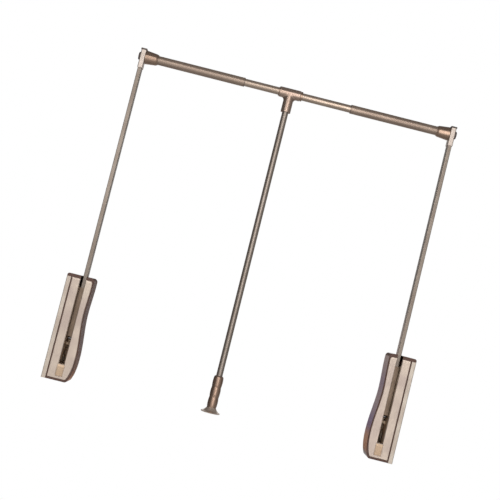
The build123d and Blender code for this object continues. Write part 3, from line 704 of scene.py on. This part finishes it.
# ---- Room ----
# A pale floor well below the feet, a white world, and soft lamps. Long dim cards run past the lift on its
# four sides and far behind it, as a photographer's flags: only gloss sees them, and they draw its edges.
floor_radius = 2.3
floor_z = -1.0
disc = bmesh.new()
bmesh.ops.create_circle(disc, cap_ends=True, segments=128, radius=floor_radius)
bmesh.ops.translate(disc, vec=(0, 0, floor_z), verts=disc.verts)
floor_mesh = bpy.data.meshes.new("floor")
disc.to_mesh(floor_mesh)
disc.free()
floor = bpy.data.objects.new("floor", floor_mesh)
bpy.context.scene.collection.objects.link(floor)
floor_paint = bpy.data.materials.new("floor_paint")
floor_paint.use_nodes = True
tree = floor_paint.node_tree
paint = tree.nodes["Principled BSDF"]
paint.inputs["Base Color"].default_value = (0.9, 0.9, 0.9, 1)
paint.inputs["Roughness"].default_value = 0.9
where = add(tree, "TexCoord")
centred = add(tree, "Mapping", Location=(0, 0, -floor_z / floor_radius), Scale=(1 / floor_radius,) * 3)
reach = add(tree, "TexGradient")
reach.gradient_type = "SPHERICAL"
fade = add(tree, "MapRange", From_Min=0.0, From_Max=0.45)
join(
    tree,
    (where.outputs["Object"], centred.inputs["Vector"]),
    (centred.outputs["Vector"], reach.inputs["Vector"]),
    (reach.outputs["Fac"], fade.inputs["Value"]),
    (fade.outputs["Result"], paint.inputs["Alpha"]),
)
floor.data.materials.append(floor_paint)


def flag(name, near_edge, far_edge, paint):
    """A flat card between two edges of two points each, that only gloss sees."""
    card = bmesh.new()
    ends = [card.verts.new(corner) for corner in near_edge]
    grown = bmesh.ops.extrude_edge_only(card, edges=[card.edges.new(ends)])["geom"]
    far_ends = [piece for piece in grown if isinstance(piece, bmesh.types.BMVert)]
    for corner, place in zip(sorted(far_ends, key=lambda corner: tuple(corner.co)), sorted(far_edge)):
        corner.co = place
    flag_mesh = bpy.data.meshes.new(name)
    card.to_mesh(flag_mesh)
    card.free()
    hung = bpy.data.objects.new(name, flag_mesh)
    bpy.context.scene.collection.objects.link(hung)
    hung.data.materials.append(paint)
    hung.visible_camera = False
    hung.visible_diffuse = False
    hung.visible_shadow = False
    hung.visible_transmission = False


def card_glow(name, axis, tones):
    """A card's own light, run along one axis: tones holds (place in metres, colour) in order."""
    paint = bpy.data.materials.new(name)
    paint.use_nodes = True
    tree = paint.node_tree
    shader = tree.nodes["Principled BSDF"]
    shader.inputs["Base Color"].default_value = (0, 0, 0, 1)
    shader.inputs["Specular IOR Level"].default_value = 0.0
    shader.inputs["Emission Strength"].default_value = 1.0
    where = add(tree, "TexCoord")
    axes = add(tree, "SeparateXYZ")
    first, last = tones[0][0], tones[-1][0]
    along = add(tree, "MapRange", From_Min=first, From_Max=last)
    run = add(tree, "ValToRGB")
    stops = run.color_ramp.elements
    while len(stops) < len(tones):
        stops.new(0.5)
    for stop, (place, tone) in zip(stops, tones):
        stop.position = (place - first) / (last - first)
        stop.color = (*tone, 1)
    join(
        tree,
        (where.outputs["Object"], axes.inputs["Vector"]),
        (axes.outputs[axis], along.inputs["Value"]),
        (along.outputs["Result"], run.inputs["Fac"]),
        (run.outputs["Color"], shader.inputs["Emission Color"]),
    )
    return paint


# The flags' near edges stand in front of the lift, their far edges well behind it.
near_y, near_x, near_low, near_high = -2.0, 1.35, -0.75, 1.9
far_y, far_x, far_low, far_high = 5.0, 1.9, -0.98, 3.3
round_the_lift = ((-1, 0), (-1, 1), (1, 1), (1, 0))
near_corners = [(side * near_x, near_y, (near_low, near_high)[up]) for side, up in round_the_lift]
far_corners = [(side * far_x, far_y, (far_low, far_high)[up]) for side, up in round_the_lift]
flag_glows = {"left_flag": 0.22, "high_flag": 0.30, "right_flag": 0.55, "low_flag": 0.75}
fading = ((near_y, 1.0), (-1.0, 0.7), (0.0, 0.5), (1.5, 0.45), (far_y, 0.9))
for number, (name, glow) in enumerate(flag_glows.items()):
    following = (number + 1) % len(flag_glows)
    flag(
        name,
        (near_corners[number], near_corners[following]),
        (far_corners[number], far_corners[following]),
        card_glow(name + "_glow", "Y", [(y, (glow * share,) * 3) for y, share in fading]),
    )

# Two tinted cards at the far end are what the housings' curved sides mirror. They meet at card_seam.
card_left, card_seam, card_right, card_top = -0.95, -0.05, 0.75, 2.1
violet_run = (
    (-0.42, (0.60, 0.30, 0.17)),
    (-0.28, (0.22, 0.16, 0.30)),
    (-0.13, (0.20, 0.17, 0.38)),
    (-0.01, (0.46, 0.37, 0.38)),
    (0.22, (0.56, 0.45, 0.42)),
    (0.60, (0.07, 0.06, 0.055)),
)
brown_run = (
    (-0.60, (0.12, 0.065, 0.045)),
    (0.20, (0.08, 0.055, 0.042)),
    (0.60, (0.065, 0.055, 0.05)),
)
for name, left, right, tones in (
    ("violet_card", card_left, card_seam, violet_run),
    ("brown_card", card_seam, card_right, brown_run),
):
    flag(
        name,
        ((left, far_y, far_low), (right, far_y, far_low)),
        ((left, far_y, card_top), (right, far_y, card_top)),
        card_glow(name + "_glow", "Z", tones),
    )

# White where the camera, gloss or glass looks at it, and dimmer as light on the lift.
sky_on_object = 0.42
world = bpy.data.worlds.new("white_studio")
bpy.context.scene.world = world
world.use_nodes = True
tree = world.node_tree
sky = tree.nodes["Background"]
sky.inputs["Color"].default_value = (1, 1, 1, 1)
rays = add(tree, "LightPath")
seen = add(tree, "Math")
seen.operation = "MAXIMUM"
mirrored = add(tree, "Math")
mirrored.operation = "MAXIMUM"
level = add(tree, "MapRange", To_Min=sky_on_object, To_Max=1.0)
join(
    tree,
    (rays.outputs["Is Camera Ray"], seen.inputs[0]),
    (rays.outputs["Is Glossy Ray"], seen.inputs[1]),
    (seen.outputs["Value"], mirrored.inputs[0]),
    (rays.outputs["Is Transmission Ray"], mirrored.inputs[1]),
    (mirrored.outputs["Value"], level.inputs["Value"]),
    (level.outputs["Result"], sky.inputs["Strength"]),
)

# The lamps face the lift's middle. The one behind it would glare in the foot, so gloss doesn't see it.
aim = Vector((0, 0, 0.42))
for name, place, width, height, watts in (
    ("overhead_strip", (0.0, -2.3, 1.72), 3.6, 0.4, 9),
    ("rod_strip", (-0.40, -2.5, 0.80), 1.7, 0.5, 2.7),
    ("handle_strip", (0.30, -2.6, 0.46), 0.36, 2.2, 8),
    ("fill_lamp", (-1.9, -1.7, 0.7), 1.6, 1.6, 9),
    ("top_lamp", (0.1, -0.5, 2.7), 1.8, 1.2, 12),
    ("back_lamp", (0.6, 2.5, 1.6), 1.8, 1.2, 16),
):
    lamp = bpy.data.objects.new(name, bpy.data.lights.new(name, "AREA"))
    lamp.data.shape = "RECTANGLE"
    lamp.data.size = width
    lamp.data.size_y = height
    lamp.data.energy = watts
    lamp.location = place
    lamp.rotation_euler = (aim - Vector(place)).to_track_quat("-Z", "Y").to_euler()
    lamp.visible_camera = False
    lamp.visible_glossy = name != "back_lamp"
    bpy.context.scene.collection.objects.link(lamp)

bpy.context.scene.view_settings.view_transform = "Standard"
